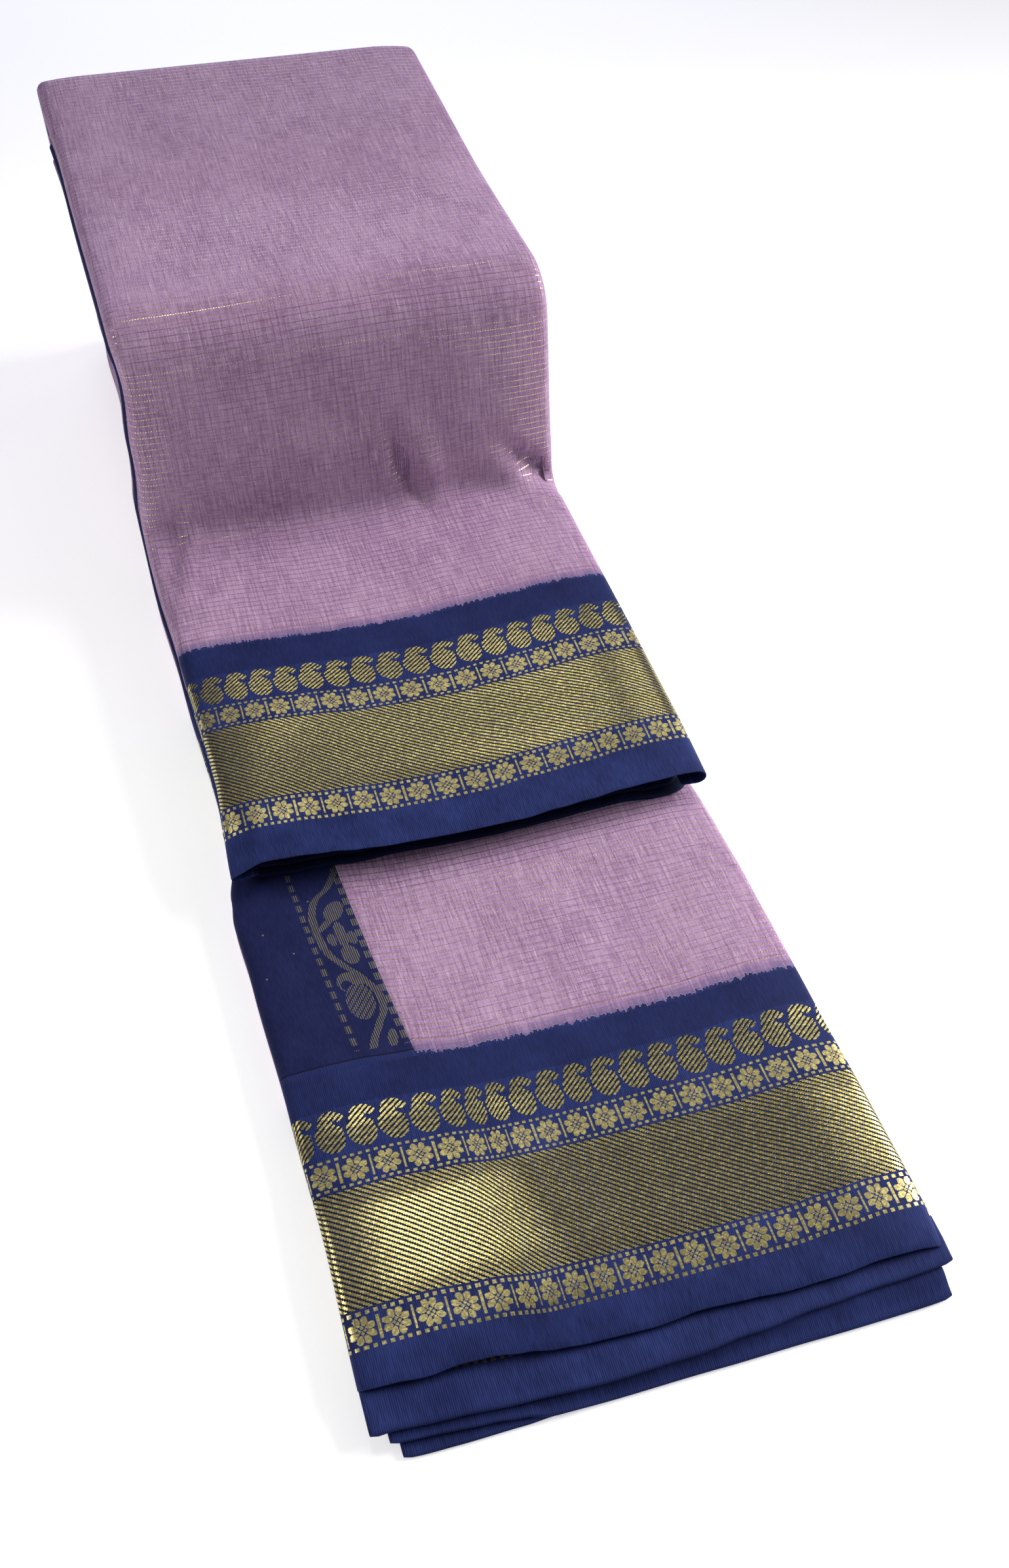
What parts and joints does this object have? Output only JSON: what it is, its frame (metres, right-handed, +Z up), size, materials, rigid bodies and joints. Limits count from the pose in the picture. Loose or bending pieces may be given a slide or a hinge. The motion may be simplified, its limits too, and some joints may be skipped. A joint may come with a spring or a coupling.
{
  "type": "sari",
  "caption": "Silk sari folded lengthwise into a strip, folded once across and laid flat with its far half raised, with woven borders and a woven end piece.",
  "frame": {"origin": "middle of the bounding box at the surface that the sari lies on", "axes": "+Z up; +Y along the folded strip, from the open ends of its plies to the fold at its raised far end; +X across the strip, with the end piece at -X"},
  "size_m": [0.2, 0.6669, 0.1502],
  "materials": {
    "lilac_ground": "plain weave silk with long slubs and fine woven gold lines",
    "folded_layers": "folded edges of the lilac ground and the navy border",
    "navy_border": "navy silk with woven gold flower rows and a gold twill band",
    "navy_end_piece": "plain navy silk with a woven gold vine band"
  },
  "bodies": {
    "root": {"upper_body": "lilac_ground", "upper_border": "navy_border", "upper_inner": "navy_border", "upper_inner_fold": "navy_border", "upper_under": "navy_border", "lower_body": "lilac_ground", "lower_pallu": "navy_end_piece", "lower_border": "navy_border", "pallu_edge": "navy_end_piece", "ply_b": "navy_border", "ply_c": "navy_border", "ply_d": "navy_border", "hidden_layers": "folded_layers"}
  },
  "joints": []
}
